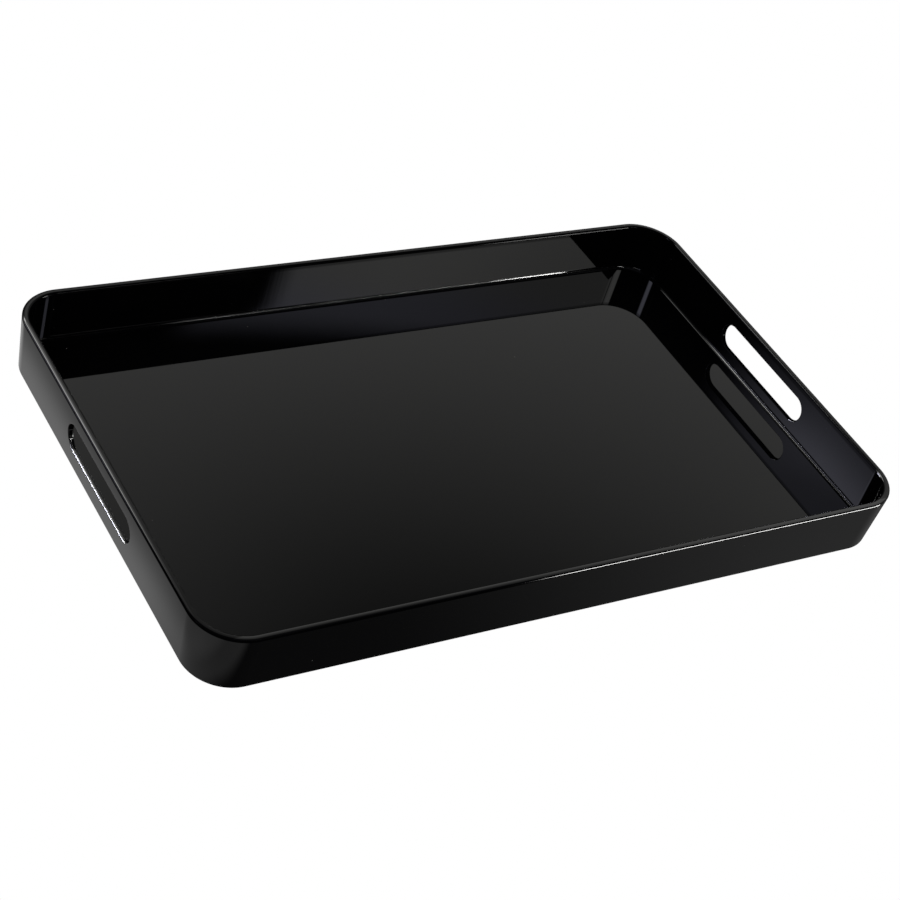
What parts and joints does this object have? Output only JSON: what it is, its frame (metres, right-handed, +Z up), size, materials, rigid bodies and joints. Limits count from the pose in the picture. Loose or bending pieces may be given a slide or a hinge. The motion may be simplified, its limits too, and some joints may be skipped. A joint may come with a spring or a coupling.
{
  "type": "serving tray",
  "caption": "Rectangular serving tray with rounded corners, straight upright walls, a flat rim and a long hand slot through each short end, standing on low non-slip feet.",
  "frame": {"origin": "on the table, under the middle of the tray, level with the contact faces of the feet", "axes": "+X along the tray's length towards the right-hand slot, +Y across the tray towards its back long side, +Z up"},
  "size_m": [0.5298, 0.3248, 0.045],
  "materials": {
    "tray_plastic": "deep black moulded plastic with a mirror-like gloss, a faint moulding ripple and light handling scratches",
    "foot_rubber": "matte dark grey non-slip rubber",
    "adhesive_foam": "thin pale grey adhesive foam, matte"
  },
  "bodies": {
    "root": {"tray_body": "tray_plastic", "foot_front_left": "foot_rubber", "foot_front_right": "foot_rubber", "foot_back_left": "foot_rubber", "foot_back_right": "foot_rubber", "adhesive_disc_front_left": "adhesive_foam", "adhesive_disc_front_right": "adhesive_foam", "adhesive_disc_back_left": "adhesive_foam", "adhesive_disc_back_right": "adhesive_foam"}
  },
  "joints": []
}
